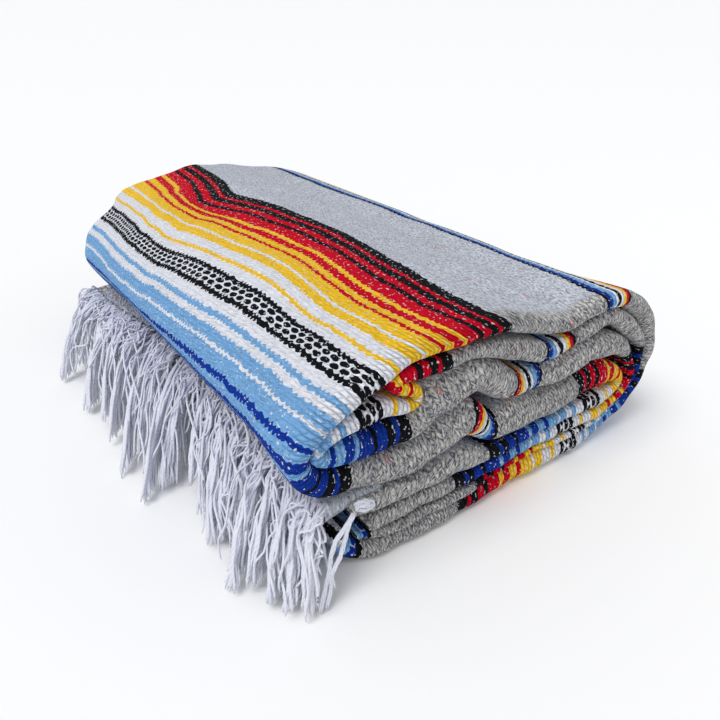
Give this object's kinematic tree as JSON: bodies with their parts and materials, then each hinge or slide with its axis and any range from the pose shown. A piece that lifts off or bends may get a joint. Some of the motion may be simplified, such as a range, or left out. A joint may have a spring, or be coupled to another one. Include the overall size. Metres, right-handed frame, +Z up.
{
  "type": "folded mexican serape blanket",
  "caption": "Thick striped serape blanket with a white warp fringe, folded into a flat pack to rest on a shelf, bed or floor.",
  "frame": {"origin": "on the ground under the middle of the whole folded pack, fringe included", "axes": "+Y along the stripes, away from the near layered edges; +X across the pack, from the fringed left side to the right fold; +Z up"},
  "size_m": [0.3296, 0.4356, 0.1235],
  "materials": {
    "striped_cloth": "coarse weft-faced weave in heather grey with bands of black, red, yellow, white and blue stripes",
    "hidden_cloth": "the same grey weave, in the shade between the layers",
    "fringe_yarn": "soft two-ply white yarn, loose and slightly fuzzy"
  },
  "bodies": {
    "root": {"top_stretch": "striped_cloth", "left_fold": "striped_cloth", "right_fold": "striped_cloth", "underside_stretch": "striped_cloth", "second_edge": "striped_cloth", "tucked_curl": "striped_cloth", "third_edge": "striped_cloth", "fourth_edge": "striped_cloth", "fifth_edge": "striped_cloth", "sixth_edge": "striped_cloth", "seventh_edge": "striped_cloth", "inner_right_fold": "striped_cloth", "far_upper_fold": "striped_cloth", "far_middle_fold": "striped_cloth", "far_lower_fold": "striped_cloth", "far_bottom_fold": "striped_cloth", "fringed_end": "striped_cloth", "hidden_layers": "hidden_cloth", "fringe": "fringe_yarn", "corner_tassel": "fringe_yarn"}
  },
  "joints": []
}
